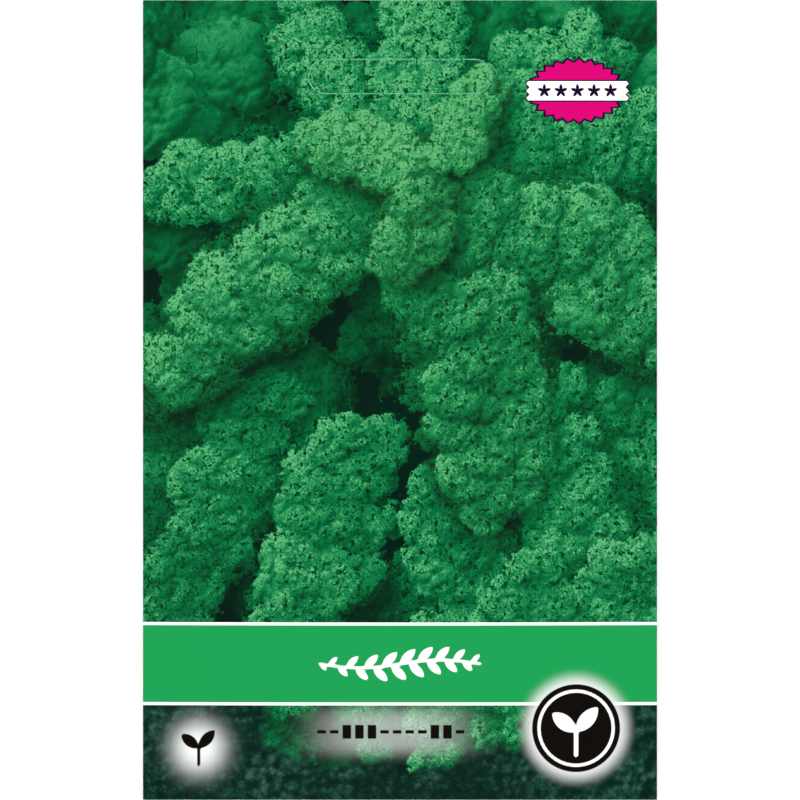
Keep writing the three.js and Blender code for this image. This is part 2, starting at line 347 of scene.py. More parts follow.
# the soil's share of the picture, all but a gap whose form is an oval with a wandering edge, and the light
# on its crumbs, which are humps of two widths with clods among them
def paintSoil():
    gap = soilForm["gap"]
    gapX, gapY = ((v - m) / r for v, m, r in zip((pictureX, pictureY), gap["middle"], gap["reach"]))
    edge = sum(
        reach * blotches(pictureX / width, pictureY / width, 71 + number)
        for number, (width, reach) in enumerate(gap["edge"])
    )
    bare = easeBetween(gapX**2 + gapY**2 + edge, *gap["ends"])
    samples["soil"][:] = bare * (pictureY < soilForm["below"] + picture["sample"])
    width, reach = soilForm["wander"]
    crumbX = pictureX + reach * blotches(pictureX / width, pictureY / width, 73)
    crumbY = pictureY + reach * blotches(pictureX / width, pictureY / width, 74)
    crumbs = sum(
        height * humps(crumbX / size, crumbY / size, 75 + 2 * number)
        for number, (size, height) in enumerate(soilForm["crumbs"])
    )
    clods = humps(crumbX / soilForm["clods"], crumbY / soilForm["clods"], 81)
    least, more = soilForm["shade"]
    shade = least + more * blotches(pictureX / width, pictureY / width, 79)
    samples["crumb"][:] = (lightOn(crumbs) + clods) / 2 * shade


# the whole picture: beds of leaves behind and under the plant, then the plant's own leaves from back to
# front, and the soil
def paintPicture():
    draw = np.random.default_rng(picture["seed"]).random
    for bed in picture["beds"]:
        for number in range(bed["count"]):
            x, y, turn, length, width, bright = (first + span * draw() for first, span in bed["ranges"])
            seed = bed["firstSeed"] + 5 * number
            paintLeaf((x, y), turn, length, width, seed, bright=bright, **bed["look"])
    seed = picture["plantSeed"]
    for group in picture["plant"]:
        for root, turn, length, width in group["leaves"]:
            bright = group["bright"] * (1 + picture["brighterRight"] * root[0])
            paintLobedLeaf(root, turn, length, width, seed, bright, warm=group["warm"],
                           plump=group["plump"] * width / picture["plumpAt"], ragged=group["ragged"])
            seed += 7
    paintSoil()


paintPicture()
print("picture painted:", pictureColumns, "x", pictureRows, "samples")


# a picture field read at any place on the packet: the four samples round it, weighed by nearness
def readPicture(field, x, y):
    column = np.clip((x + halfWidth) / picture["sample"], 0, pictureColumns - 1.001)
    row = np.clip((halfHeight - y) / picture["sample"], 0, pictureRows - 1.001)
    i, j = row.astype(int), column.astype(int)
    v, u = row - i, column - j
    upper = field[i, j] * (1 - u) + field[i, j + 1] * u
    lower = field[i + 1, j] * (1 - u) + field[i + 1, j + 1] * u
    return upper * (1 - v) + lower * v


# sRGB hex to the linear colour that shaders work in
def linearColour(hexCode):
    value = np.array([int(hexCode[i : i + 2], 16) for i in (0, 2, 4)]) / 255
    linear = np.where(value <= 0.04045, value / 12.92, ((value + 0.055) / 1.055) ** 2.4)
    return (*linear.tolist(), 1.0)


# gives a node's sockets their values: another node's output is linked, and None is skipped
def setSockets(tree, node, values):
    for key, value in values.items():
        if isinstance(value, bpy.types.NodeSocket):
            tree.links.new(value, node.inputs[key])
        elif value is not None:
            node.inputs[key].default_value = value


# adds a node: positional values go to its sockets in order, a dictionary's to sockets by name or number
def addNode(tree, kind, *values, sockets=None, output=0, stops=None, **settings):
    node = tree.nodes.new("ShaderNode" + kind)
    for name, value in settings.items():
        setattr(node, name, value)
    setSockets(tree, node, {**dict(enumerate(values)), **(sockets or {})})
    if stops:
        ramp = node.color_ramp.elements
        ramp.remove(ramp[1])
        for number, (place, colour) in enumerate(stops):
            stop = ramp.new(place) if number else ramp[0]
            stop.position, stop.color = place, linearColour(colour)
    return node.outputs[output]


# a new material with its node tree, its shader and the place on the piece in millimetres
def newMaterial(name):
    material = bpy.data.materials.new(name)
    material.use_nodes = True
    tree = material.node_tree
    place = addNode(tree, "TexCoord", output=3)
    place = addNode(tree, "VectorMath", place, sockets={3: 1 / mm}, operation="SCALE")
    return material, tree, tree.nodes["Principled BSDF"], place


# inks laid over a ground in order, each a mask and a colour: a mix of what is there and the colour
def layInks(tree, ink, layers):
    for mask, colour in layers:
        colour = linearColour(colour) if isinstance(colour, str) else colour
        ink = addNode(tree, "Mix", sockets={0: mask, 6: ink, 7: colour}, data_type="RGBA", output=2)
    return ink


# the packet's own shape, as the frame has it
packet = {
    "paper": 0.15,
    "frontAtFold": 0.75,  # height of the front sheet's outside along the folds
    "backLevel": 0.30,  # height of the back sheet's inside
    "foldTop": 0.45,  # a glued sheet's fold runs up into the front's fold as far as this
    "bulgePeak": 0.36,
    "bulgeTaper": 1.75,
    "waviness": 0.05,
    "waveWidths": (17, 7),
    "foldSteps": 6,
    "cells": (238, 370),
    "rimSteps": 4,
    "insideCells": (18, 28),
    "backShortOfFold": 6.0,
    "seamSetback": 1.0,
    "topFlap": {"depth": 24.0, "gapAtFold": 0.3, "gapAtEdge": 5.0},
    "bottomFlap": {"depth": 13.0, "gapAtFold": 0.3, "gapAtEdge": 4.0},
    "glueBite": 0.02,
}
bulge = packetDepth - packet["frontAtFold"]


# the front's rise over the seeds: a parabola across, and up the packet a rise to the fullest place and
# a slower fall to the top fold
def frontRise(x, y):
    across = np.clip(1 - (x / halfWidth) ** 2, 0, 1)
    up = np.clip(y / packetHeight + 0.5, 0, 1)
    along = up / packet["bulgePeak"] * ((1 - up) / (1 - packet["bulgePeak"])) ** packet["bulgeTaper"]
    wide, narrow = (blotches(x / w, y / w, 3 + number) for number, w in enumerate(packet["waveWidths"]))
    wave = packet["waviness"] * (wide + 0.5 * narrow)
    return bulge * across * along + wave * across * 4 * up * (1 - up)


# corner numbers of the quads of a grid whose points run along each row in turn
def gridQuads(rows, columns, start=0):
    corner = (np.arange(rows - 1)[:, None] * columns + np.arange(columns - 1)[None, :]).ravel() + start
    return np.stack([corner, corner + 1, corner + columns + 1, corner + columns], -1)


# a flat-bottomed pouch: a grid whose rim is a quarter circle, standing rise(x, y) higher in the middle,
# then a second quarter circle under the rim, and one flat face below
def pouch(width, height, centreY, low, high, rise, columns, rows, rimSteps):
    radius = (high - low) / 2
    turn = np.linspace(0, np.pi / 2, rimSteps + 1)
    inset = radius * (1 - np.cos(turn))
    xs, ys = (
        np.concatenate([inset - half, np.linspace(radius - half, half - radius, count)[1:-1],
                        half - inset[::-1]])
        for half, count in ((width / 2, columns), (height / 2, rows))
    )
    x, y = np.meshgrid(xs, ys)
    share = np.clip(np.minimum(width / 2 - np.abs(x), height / 2 - np.abs(y)) / radius, 0, 1)
    z = low + radius + radius * np.sqrt(1 - (1 - share) ** 2) + share * rise(x, y + centreY)
    top = np.stack([x, y + centreY, z], -1)
    nx, ny = len(xs), len(ys)
    number = np.arange(nx * ny).reshape(ny, nx)
    border = np.concatenate([number[0, :-1], number[:-1, -1], number[-1, :0:-1], number[:0:-1, 0]])
    ring = top.reshape(-1, 3)[border] - (0, centreY, 0)
    points, quads = [top.reshape(-1, 3)], [gridQuads(ny, nx)]
    last = border
    for angle in turn[1:]:
        shrink = 1 - radius * (1 - np.cos(angle)) / np.array([width / 2, height / 2])
        lower = np.column_stack([ring[:, :2] * shrink + (0, centreY), np.full(len(ring), low + radius)])
        lower[:, 2] -= radius * np.sin(angle)
        start = sum(len(p) for p in points)
        fresh = start + np.arange(len(ring))
        quads.append(np.stack([last, fresh, np.roll(fresh, -1), np.roll(last, -1)], -1))
        points.append(lower)
        last = fresh
    under = np.concatenate(quads[1:]).tolist() + [last[::-1].tolist()]
    return np.concatenate(points), quads[0].tolist(), under


# quads between neighbouring copies of a closed outline, by copy and by place along it, and the end faces
def sweepFaces(copies, count):
    row = np.arange(count)
    here = np.arange(copies - 1)[:, None] * count + row
    there = here + count
    quads = np.stack([here, np.roll(here, -1, 1), np.roll(there, -1, 1), there], -1)
    return quads, [row[::-1].tolist(), ((copies - 1) * count + row).tolist()]


# a glued sheet: a closed outline drawn along the way to its fold and up, carried across the packet, with
# its width changing evenly from its free end to its fold. toPlace turns along, across and up into x, y, z.
def foldedSheet(freeEnd, foldEnd, low, high, halfAtFree, halfAtFold, columns, rows, toPlace):
    radius = packet["foldTop"] - low
    turn = np.linspace(-np.pi / 2, 0, packet["foldSteps"] + 1)
    outside = np.column_stack([np.linspace(freeEnd, foldEnd - radius, rows), np.full(rows, low)])
    fold = np.column_stack([foldEnd - radius + radius * np.cos(turn), low + radius + radius * np.sin(turn)])
    tucked = [(foldEnd - high + low, low + radius), (foldEnd - radius, high), (freeEnd, high)]
    outline = np.concatenate([outside, fold[1:], tucked])
    reach = halfAtFree + (halfAtFold - halfAtFree) * (outline[:, 0] - freeEnd) / (foldEnd - freeEnd)
    across = np.linspace(-1, 1, columns)[:, None] * reach
    along, up = (np.broadcast_to(outline[:, axis], across.shape) for axis in (0, 1))
    quads, ends = sweepFaces(columns, len(outline))
    outer = rows + packet["foldSteps"] - 1
    printed, bare = quads[:, :outer], quads[:, outer:]
    return (
        toPlace(along, across, up).reshape(-1, 3),
        printed.reshape(-1, 4).tolist(),
        bare.reshape(-1, 4).tolist() + ends,
    )


# shells of points and faces joined in one mesh at the origin, each group of faces with its material
def buildPiece(name, shells, materials, sharpAngle=0.7):
    points, faces, finish = [], [], []
    for shellPoints, *groups in shells:
        start = sum(len(p) for p in points)
        points.append(shellPoints)
        for materialNumber, group in groups:
            faces += [[start + corner for corner in face] for face in group]
            finish += [materialNumber] * len(group)
    mesh = bpy.data.meshes.new(name)
    mesh.from_pydata((np.concatenate(points) * mm).tolist(), [], faces)
    mesh.polygons.foreach_set("material_index", finish)
    mesh.polygons.foreach_set("use_smooth", np.ones(len(faces), bool))
    mesh.set_sharp_from_angle(angle=sharpAngle)
    for material in materials:
        mesh.materials.append(material)
    piece = bpy.data.objects.new(name, mesh)
    bpy.context.scene.collection.objects.link(piece)
    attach(piece, "root")
    return piece


# a number for each point of a mesh, for its material to read
def addReading(piece, name, values):
    reading = piece.data.attributes.new(name, "FLOAT", "POINT")
    reading.data.foreach_set("value", np.ascontiguousarray(values, np.float32))


# the front's printed layout, in millimetres from the packet's middle
layout = {
    "bandTop": -38.85,
    "bandBottom": -53.375,
    "whiteLine": 0.525,
    "seal": {
        "middle": (30.85, 54.1), "radii": (8.95, 5.95), "teeth": 25, "toothDepth": 0.12, "outline": 0.065,
        "soft": 0.006,
    },
    "ribbon": {
        "middle": (31.05, 54.1), "half": (8.9, 1.92), "points": 3, "pointDepth": 0.30, "outline": 0.24,
        "soft": 0.04,
    },
    "stars": {"count": 5, "pitch": 2.9, "points": 5, "radius": 1.25, "inner": 0.45},
    "leftGlow": {"middle": (-35.2, -60.8), "reach": 4.37, "falloff": 2.77, "seedling": 5.6},
    "badge": {
        "middle": (30.8, -57.4), "radius": 7.7, "ring": 6.5, "line": 0.55, "seedling": 7.6, "lowered": 0.5,
        "glow": 3.2, "glowStrength": 0.82, "glowPower": 1.4,
    },
    "haze": {"middle": (-1.6, -58.0), "half": (12.4, 3.9), "strength": 0.38},
    "calendar": {
        "months": 12, "bar": (0.75, 1.2), "idleBar": 0.3, "pitch": 2.2, "busy": ((3, 5), (10, 11)),
    },
    "sprig": {"middle": (0.0, -46.1), "reach": 14.0, "wave": 0.7, "stem": 0.5, "leaves": 9, "leaf": 3.6},
    "slot": {"middleY": 56.6, "length": 32.0, "height": 6.0},
}


# signed distance to a leaf shape between two points, negative inside: where two equal circles overlap
def leafDistance(x, y, root, tip, width):
    root, tip = np.array(root, float), np.array(tip, float)
    half = np.linalg.norm(tip - root) / 2
    along = (tip - root) / (2 * half)
    middle = (root + tip) / 2
    a = (x - middle[0]) * along[0] + (y - middle[1]) * along[1]
    b = np.abs((y - middle[1]) * along[0] - (x - middle[0]) * along[1])
    radius = (half**2 + (width / 2) ** 2) / width
    return np.hypot(a, b + radius - width / 2) - radius


# signed distance to a line of some thickness between two points: distance to it less half the thickness
def strokeDistance(x, y, start, end, thickness):
    start, run = np.array(start, float), np.array(end, float) - np.array(start, float)
    share = np.clip(((x - start[0]) * run[0] + (y - start[1]) * run[1]) / (run @ run), 0, 1)
    return np.hypot(x - start[0] - share * run[0], y - start[1] - share * run[1]) - thickness / 2


# signed distance to a rectangle: how far outside its sides, or how deep inside
def boxDistance(x, y, middle, half):
    outX, outY = np.abs(x - middle[0]) - half[0], np.abs(y - middle[1]) - half[1]
    return np.hypot(np.clip(outX, 0, None), np.clip(outY, 0, None)) + np.minimum(np.maximum(outX, outY), 0)


# a seedling: a stem and two leaves that lean apart
def seedlingDistance(x, y, middle, size):
    cx, cy = middle
    stem = strokeDistance(x, y, (cx, cy - 0.55 * size), (cx, cy + 0.05 * size), 0.10 * size)
    left = leafDistance(x, y, (cx, cy - 0.02 * size), (cx - 0.55 * size, cy + 0.42 * size), 0.34 * size)
    right = leafDistance(x, y, (cx, cy - 0.02 * size), (cx + 0.50 * size, cy + 0.55 * size), 0.34 * size)
    return np.minimum(stem, np.minimum(left, right))


# white and black ink on the front, as signed distances: a ring, seedlings and a wavy sprig, each the nearest
# of its strokes and leaves. The white glow behind the black, from 0 to 1, is an exponential of less a power
# of the distance, and round the badge a power of an even slope.
def frontInk(x, y):
    badge, sprig, left, haze = (layout[name] for name in ("badge", "sprig", "leftGlow", "haze"))
    fromBadge = np.hypot(x - badge["middle"][0], y - badge["middle"][1])
    ring = np.abs(fromBadge - badge["ring"]) - badge["line"] / 2
    inBadge = np.array(badge["middle"]) - (0, badge["lowered"])
    white = np.minimum(ring, seedlingDistance(x, y, inBadge, badge["seedling"]))
    black = seedlingDistance(x, y, left["middle"], left["seedling"])
    black = np.minimum(fromBadge - badge["radius"], black)
    stemX = np.linspace(-sprig["reach"], sprig["reach"], sprig["leaves"] * 2 + 1)
    stemY = sprig["middle"][1] + sprig["wave"] * np.sin(stemX / sprig["reach"] * np.pi)
    stem = list(zip(stemX, stemY))
    for number, (here, there) in enumerate(zip(stem, stem[1:])):
        white = np.minimum(white, strokeDistance(x, y, here, there, sprig["stem"]))
        size = sprig["leaf"] * (1 - 0.55 * (here[0] / sprig["reach"]) ** 2)
        side = 1 if number % 2 else -1
        tip = (here[0] + 0.75 * size, here[1] + side * 0.72 * size)
        white = np.minimum(white, leafDistance(x, y, here, tip, 0.42 * size))
    fromLeft = np.hypot(x - left["middle"][0], y - left["middle"][1])
    glow = np.exp(-((fromLeft / left["reach"]) ** left["falloff"]))
    halo = easeBetween(fromBadge, badge["radius"] + badge["glow"], badge["radius"] - 0.3)
    glow = np.maximum(glow, badge["glowStrength"] * halo ** badge["glowPower"])
    hazeX, hazeY = ((v - m) / h for v, m, h in zip((x, y), haze["middle"], haze["half"]))
    glow = np.maximum(glow, haze["strength"] * np.exp(-(hazeX**4) - hazeY**4))
    return white, black, glow


# the front's print: fine marks by their widths in millimetres, then its inks
printing = {
    "curls": {"width": 0.75, "reach": 0.6, "soft": 0.06},  # at the leaves' edges
    "frills": ((0.85, 0.24, 0.58), (0.45, 0.24, 0.24)),  # width, and how far lines lighten and pits darken
    "lineHalf": 0.07,  # how far from middle grey a line reaches, and where a pit begins and is darkest
    "pit": (-0.10, -0.17),
    "evenOut": -0.04,  # evens out what the lines add and the pits take away
    "specks": {"width": 0.42, "strength": 0.70},
    "leaf": (
        (0.0, "00140f"), (0.12, "002a14"), (0.30, "004824"), (0.50, "006234"), (0.72, "1a7c46"),
        (0.90, "3b945c"), (1.0, "5aa86c"),
    ),
    "warmLeaf": "5f9c44",
    "warmShare": 0.28,
    "grit": {"width": 0.6, "strength": 0.90},
    "stir": {"width": 1.0, "reach": 1.8},
    "clods": {"width": 1.7, "from": (0.10, 0.75), "to": (0.10, -0.22)},
    "soil": ((0.20, "001c13"), (0.50, "04251b"), (0.78, "153b2f"), (1.0, "2c5044")),
    "bandLine": "fdfefc",
    "band": "18924c",
    "glow": "e4e6e4",
    "black": "080402",
    "white": "fbfdfb",
    "sealDark": "140028",
    "sealBright": "c8006a",
    "ribbon": "fdfcfa",
    "rubbed": "a9b4ac",
    "soft": 0.06,  # half the width over which black and white ink fade out
    "softMarks": 0.05,  # the same for the calendar and the stars
}


# Coated paper, litho printed and varnished: a smooth white sheet under a thin even film of ink, with a
# soft sheen. The ink is the picture, with curls and frills too fine for its samples drawn by noise.
def printedFront():
    material, tree, shader, place = newMaterial("coated_paper_printed_front")
    reading = {
        name: addNode(tree, "Attribute", attribute_name=name, output=2)
        for name in (*samples, "inkWhite", "inkBlack", "glow", "fromFold")
    }
    apart = addNode(tree, "SeparateXYZ", place)
    x, y = apart, apart.node.outputs[1]
    layers = []  # the mask and the colour of each ink over the leaves, in order

    # two layers of leaves: the upper one covers where its edge, roughened by fine curls, is above nothing
    curl = printing["curls"]
    curls = {"Scale": 1 / curl["width"], "Detail": 2.0}
    curls = addNode(tree, "TexNoise", place, noise_dimensions="2D", sockets=curls)
    curls = addNode(tree, "Math", curls, 0.5, operation="SUBTRACT")
    curls = addNode(tree, "Math", curls, reading["frill"], operation="MULTIPLY")
    edge = addNode(tree, "Math", curls, curl["reach"], reading["edge"], operation="MULTIPLY_ADD")
    cover = addNode(tree, "MapRange", edge, 0.0, curl["soft"])
    tone = addNode(tree, "Mix", sockets={0: cover, 2: reading["below"], 3: reading["tone"]})

    # frills too fine for the samples: pale curly lines where a cloudy pattern crosses its middle grey, in
    # two widths, and dark pits in its lows
    frills = printing["evenOut"]
    for size, pale, dark in printing["frills"]:
        clouds = {"Scale": 1 / size, "Detail": 1.0, "Distortion": 0.5}
        lines = addNode(tree, "TexNoise", place, noise_dimensions="2D", sockets=clouds)
        lines = addNode(tree, "Math", lines, 0.5, operation="SUBTRACT")
        pits = addNode(tree, "MapRange", lines, *printing["pit"], 0.0, -dark, interpolation_type="SMOOTHSTEP")
        lines = addNode(tree, "Math", lines, operation="ABSOLUTE")
        lines = addNode(
            tree, "MapRange", lines, printing["lineHalf"], 0.0, 0.0, pale, interpolation_type="SMOOTHSTEP"
        )
        frills = addNode(tree, "Math", lines, frills, operation="ADD")
        frills = addNode(tree, "Math", pits, frills, operation="ADD")
    specks = {"Scale": 1 / printing["specks"]["width"], "Detail": 0.0}
    specks = addNode(tree, "TexNoise", place, noise_dimensions="2D", sockets=specks)
    specks = addNode(tree, "Math", specks, 0.5, operation="SUBTRACT")
    frills = addNode(tree, "Math", specks, printing["specks"]["strength"], frills, operation="MULTIPLY_ADD")
    frills = addNode(tree, "Math", frills, reading["frill"], 1.0, operation="MULTIPLY_ADD")
    tone = addNode(tree, "Math", tone, frills, operation="MULTIPLY")
    leaf = addNode(tree, "ValToRGB", tone, stops=printing["leaf"])
    warmth = addNode(tree, "Math", reading["warm"], reading["tone"], operation="MULTIPLY")
    warmth = addNode(tree, "Math", warmth, printing["warmShare"], operation="MULTIPLY")
    layers.append((warmth, printing["warmLeaf"]))

    # dark soil: crumbs a millimetre or so wide, dark between, with finer grit on them
    grit = addNode(tree, "TexNoise", place, sockets={"Scale": 1 / printing["grit"]["width"], "Detail": 3.0})
    grit = addNode(tree, "Math", grit, 0.5, operation="SUBTRACT")
    crumbs = addNode(
        tree, "Math", grit, printing["grit"]["strength"], reading["crumb"], operation="MULTIPLY_ADD"
    )
    stir = {"Scale": 1 / printing["stir"]["width"], "Detail": 3.0}
    stir = addNode(tree, "TexNoise", place, sockets=stir, output=1)
    reach = (printing["stir"]["reach"], printing["stir"]["reach"], 0.0)
    stirred = addNode(tree, "VectorMath", stir, reach, place, operation="MULTIPLY_ADD")
    clod = printing["clods"]
    clods = {"Scale": 1 / clod["width"]}
    clods = addNode(tree, "TexVoronoi", stirred, sockets=clods, voronoi_dimensions="2D")
    clods = addNode(tree, "MapRange", clods, *clod["from"], *clod["to"])
    crumbs = addNode(tree, "Math", crumbs, clods, operation="ADD")
    layers.append((reading["soil"], addNode(tree, "ValToRGB", crumbs, stops=printing["soil"])))

    # the plain band with a white line along its top and its bottom
    for inset, colour in ((0.0, printing["bandLine"]), (layout["whiteLine"], printing["band"])):
        low, high = layout["bandBottom"] + inset, layout["bandTop"] - inset
        inside = addNode(tree, "Math", y, (low + high) / 2, (high - low) / 2, operation="COMPARE")
        layers.append((inside, colour))

    # white glow, black ink and white ink
    layers.append((reading["glow"], printing["glow"]))
    for name, colour in (("inkBlack", printing["black"]), ("inkWhite", printing["white"])):
        layers.append((addNode(tree, "MapRange", reading[name], printing["soft"], -printing["soft"]), colour))

    # the sowing calendar: a short dash for each month, and a tall one in the months to sow
    calendar, (calendarX, calendarY) = layout["calendar"], layout["haze"]["middle"]
    fromMiddle = addNode(tree, "Math", x, calendarX, operation="SUBTRACT")
    tall = calendar["idleBar"]
    taller = calendar["bar"][1] - calendar["idleBar"]
    for first, last in calendar["busy"]:
        middle = (first + last - calendar["months"] - 1) / 2 * calendar["pitch"]
        half = (last - first + 1) / 2 * calendar["pitch"]
        busy = addNode(tree, "Math", fromMiddle, middle, half, operation="COMPARE")
        tall = addNode(tree, "Math", busy, taller, tall, operation="MULTIPLY_ADD")
    inMonth = addNode(tree, "Math", fromMiddle, calendar["pitch"], operation="FLOORED_MODULO")
    inMonth = addNode(tree, "Math", inMonth, calendar["pitch"] / 2, operation="SUBTRACT")
    inMonth = addNode(tree, "Math", inMonth, operation="ABSOLUTE")
    inMonth = addNode(tree, "Math", inMonth, calendar["bar"][0], operation="SUBTRACT")
    upBar = addNode(tree, "Math", y, calendarY, operation="SUBTRACT")
    upBar = addNode(tree, "Math", upBar, operation="ABSOLUTE")
    upBar = addNode(tree, "Math", upBar, tall, operation="SUBTRACT")
    outside = addNode(tree, "Math", inMonth, upBar, operation="MAXIMUM")
    inside = addNode(tree, "MapRange", outside, printing["softMarks"], -printing["softMarks"])
    rowHalf = calendar["months"] * calendar["pitch"] / 2
    inRow = addNode(tree, "Math", fromMiddle, 0.0, rowHalf, operation="COMPARE")
    layers.append((addNode(tree, "Math", inside, inRow, operation="MULTIPLY"), printing["black"]))

    # the seal: a toothed oval, whose edge runs straight between tooth and notch
    seal = layout["seal"]
    scale = [1 / seal["radii"][0], 1 / seal["radii"][1], 0]
    shift = [-m * s for m, s in zip((*seal["middle"], 0), scale)]
    fromSeal = addNode(tree, "VectorMath", place, scale, shift, operation="MULTIPLY_ADD")
    apartSeal = addNode(tree, "SeparateXYZ", fromSeal)
    angle = addNode(tree, "Math", apartSeal.node.outputs[1], apartSeal, operation="ARCTAN2")
    angle = addNode(tree, "Math", angle, seal["teeth"] / np.pi, operation="MULTIPLY")
    tooth = addNode(tree, "Math", angle, 1.0, operation="PINGPONG")
    reach = addNode(tree, "VectorMath", fromSeal, operation="LENGTH", output=1)
    reach = addNode(tree, "Math", tooth, seal["toothDepth"], reach, operation="MULTIPLY_ADD")
    for limit, colour in ((1.0, printing["sealDark"]), (1.0 - seal["outline"], printing["sealBright"])):
        layers.append((addNode(tree, "MapRange", reach, limit + seal["soft"], limit - seal["soft"]), colour))

    # the ribbon across the seal, with pointed ends
    ribbon = layout["ribbon"]
    fromRibbon = addNode(tree, "VectorMath", place, (*ribbon["middle"], 0), operation="SUBTRACT")
    apartRibbon = addNode(tree, "SeparateXYZ", fromRibbon)
    along, across = apartRibbon, apartRibbon.node.outputs[1]
    points, depth, (ribbonLong, ribbonHigh) = ribbon["points"], ribbon["pointDepth"], ribbon["half"]
    zigzag = addNode(tree, "Math", across, points / ribbonHigh, points, operation="MULTIPLY_ADD")
    zigzag = addNode(tree, "Math", zigzag, 1.0, operation="PINGPONG")
    farAlong = addNode(tree, "Math", along, operation="ABSOLUTE")
    farAlong = addNode(tree, "Math", zigzag, -2 * depth, farAlong, operation="MULTIPLY_ADD")
    farAlong = addNode(tree, "Math", farAlong, ribbonLong - depth, operation="SUBTRACT")
    farAcross = addNode(tree, "Math", across, operation="ABSOLUTE")
    farAcross = addNode(tree, "Math", farAcross, ribbonHigh, operation="SUBTRACT")
    outside = addNode(tree, "Math", farAlong, farAcross, operation="MAXIMUM")
    for limit, colour in ((0.0, printing["sealDark"]), (-ribbon["outline"], printing["ribbon"])):
        inside = addNode(tree, "MapRange", outside, limit + ribbon["soft"], limit - ribbon["soft"])
        layers.append((inside, colour))

    # its row of stars: the edge runs straight in angle between each point and notch
    stars = layout["stars"]
    starX = addNode(tree, "Math", along, stars["pitch"] / 2, operation="ADD")
    starX = addNode(tree, "Math", starX, stars["pitch"], operation="FLOORED_MODULO")
    starX = addNode(tree, "Math", starX, stars["pitch"] / 2, operation="SUBTRACT")
    turn = addNode(tree, "Math", starX, across, operation="ARCTAN2")
    turn = addNode(tree, "Math", turn, stars["points"] / np.pi, operation="MULTIPLY")
    turn = addNode(tree, "Math", turn, 1.0, operation="PINGPONG")
    edge = addNode(tree, "MapRange", turn, 0.0, 1.0, stars["radius"], stars["inner"])
    starReach = addNode(tree, "CombineXYZ", starX, across)
    starReach = addNode(tree, "VectorMath", starReach, operation="LENGTH", output=1)
    starReach = addNode(tree, "Math", starReach, edge, operation="SUBTRACT")
    inside = addNode(tree, "MapRange", starReach, printing["softMarks"], -printing["softMarks"])
    inRow = addNode(tree, "Math", along, 0.0, stars["count"] * stars["pitch"] / 2, operation="COMPARE")
    layers.append((addNode(tree, "Math", inside, inRow, operation="MULTIPLY"), printing["sealDark"]))

    # folds rubbed pale, in patches
    patches = addNode(tree, "TexNoise", place, sockets={"Scale": 1 / 2.5, "Detail": 2.0})
    rubbed = addNode(tree, "MapRange", patches, 0.35, 0.75, 0.0, 0.16)
    rubbed = addNode(tree, "Math", rubbed, reading["fromFold"], operation="SUBTRACT")
    layers.append((addNode(tree, "MapRange", rubbed, -0.05, 0.20, 0.0, 0.40), printing["rubbed"]))

    ink = layInks(tree, leaf, layers)
    grain = addNode(tree, "TexNoise", place, sockets={"Scale": 1 / 0.3, "Detail": 3.0})
    sheen = addNode(tree, "MapRange", grain, 0.3, 0.7, 0.36, 0.46)
    bump = addNode(tree, "Bump", sockets={"Strength": 0.12, "Distance": 0.02 * mm, "Height": grain})
    setSockets(tree, shader, {
        "Base Color": ink, "Roughness": sheen, "Normal": bump, "IOR": 1.5, "Specular IOR Level": 0.08,
    })
    return material


# The same coated paper, printed on its back in two plain inks
def printedBack():
    material, tree, shader, place = newMaterial("coated_paper_printed_back")
    fibres = addNode(tree, "TexNoise", place, sockets={"Scale": 1 / 0.8, "Detail": 4.0})
    paper = addNode(tree, "ValToRGB", fibres, stops=[(0.3, "f1efe4"), (0.7, "f7f5ec")])
    layers = []
    for name, colour in (("inkGreen", "22a558"), ("inkDark", "1f3a30")):
        distance = addNode(tree, "Attribute", attribute_name=name, output=2)
        layers.append((addNode(tree, "MapRange", distance, printing["soft"], -printing["soft"]), colour))
    ink = layInks(tree, paper, layers)
    sheen = addNode(tree, "MapRange", fibres, 0.3, 0.7, 0.42, 0.52)
    bump = addNode(tree, "Bump", sockets={"Strength": 0.12, "Distance": 0.02 * mm, "Height": fibres})
    setSockets(tree, shader, {"Base Color": ink, "Roughness": sheen, "Normal": bump, "IOR": 1.5})
    return material


# Uncoated paper: cut edges and the inside of the envelope, white and matte with short fibres
def barePaper():
    material, tree, shader, place = newMaterial("uncoated_paper")
    fibres = addNode(tree, "TexNoise", place, sockets={"Scale": 1 / 0.5, "Detail": 5.0})
    colour = addNode(tree, "ValToRGB", fibres, stops=[(0.3, "e6e2d6"), (0.7, "f3f0e8")])
    bump = addNode(tree, "Bump", sockets={"Strength": 0.2, "Distance": 0.02 * mm, "Height": fibres})
    setSockets(tree, shader, {"Base Color": colour, "Normal": bump, "Roughness": 0.8})
    return material


# the back's print: a two-row calendar, three ringed pictograms and ruled lines for notes
back = {
    "spacing": 0.45,
    "calendar": {
        "months": 12, "pitch": 6.4, "cell": (2.4, 2.6), "dot": 0.8, "rows": (34.0, 27.5),
        "busy": ((3, 4, 5), (9, 10, 11, 12)),
    },
    "rings": {"y": 7.0, "x": (-26.0, 0.0, 26.0), "radius": 9.5, "line": 1.0},
    "sown": {"half": 6.5, "up": 1.5, "line": 0.9, "seeds": (-4.0, 0.0, 4.0), "down": 2.5, "radius": 1.1},
    "drop": {"tip": 6.2, "low": -2.0, "radius": 3.3},
    "seedling": 10.0,
    "notes": {"first": -14.0, "pitch": 7.0, "lines": 6, "half": 37.0, "line": 0.45},
}


